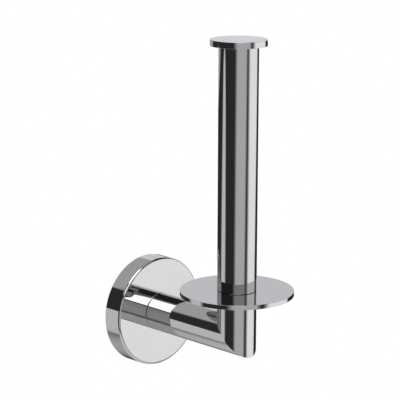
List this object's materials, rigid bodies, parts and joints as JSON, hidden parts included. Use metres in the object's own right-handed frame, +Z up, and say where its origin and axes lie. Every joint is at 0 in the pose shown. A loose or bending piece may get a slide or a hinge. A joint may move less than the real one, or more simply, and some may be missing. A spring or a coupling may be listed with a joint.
{
  "type": "toilet roll storage holder",
  "caption": "Chrome wall holder for a spare toilet roll: round rosette, mitred tube arm, round plate and an upright post with a flat cap.",
  "frame": {"origin": "where the arm's axis meets the wall, at the middle of the rosette's back", "axes": "+Y into the wall, so the arm runs out along -Y; +Z up along the post; +X to the right for someone facing the wall"},
  "size_m": [0.0582, 0.097, 0.1803],
  "materials": {
    "chrome_plate": "polished chrome plate on brass",
    "cast_zinc": "as-cast zinc alloy, matt grey",
    "stainless_screw": "machined stainless steel",
    "plug_brass": "turned brass"
  },
  "bodies": {
    "holder": {"rosette": "chrome_plate", "wall_bracket": "cast_zinc", "arm_tube": "chrome_plate", "elbow_tube": "chrome_plate", "arm_plug": "plug_brass", "arm_screw": "stainless_screw", "lock_washer": "stainless_screw", "index_pin": "stainless_screw", "elbow_plug": "plug_brass", "roll_plate": "chrome_plate", "tie_stud": "stainless_screw", "post_tube": "chrome_plate", "foot_plug": "plug_brass", "top_plug": "plug_brass", "cap": "chrome_plate"},
    "set_screw": {"set_screw": "stainless_screw"}
  },
  "joints": [
    {"name": "set_screw_travel", "type": "slide", "parent": "holder", "child": "set_screw", "axis": [0, 0, -1], "range_m": [0, 0.002]}
  ]
}
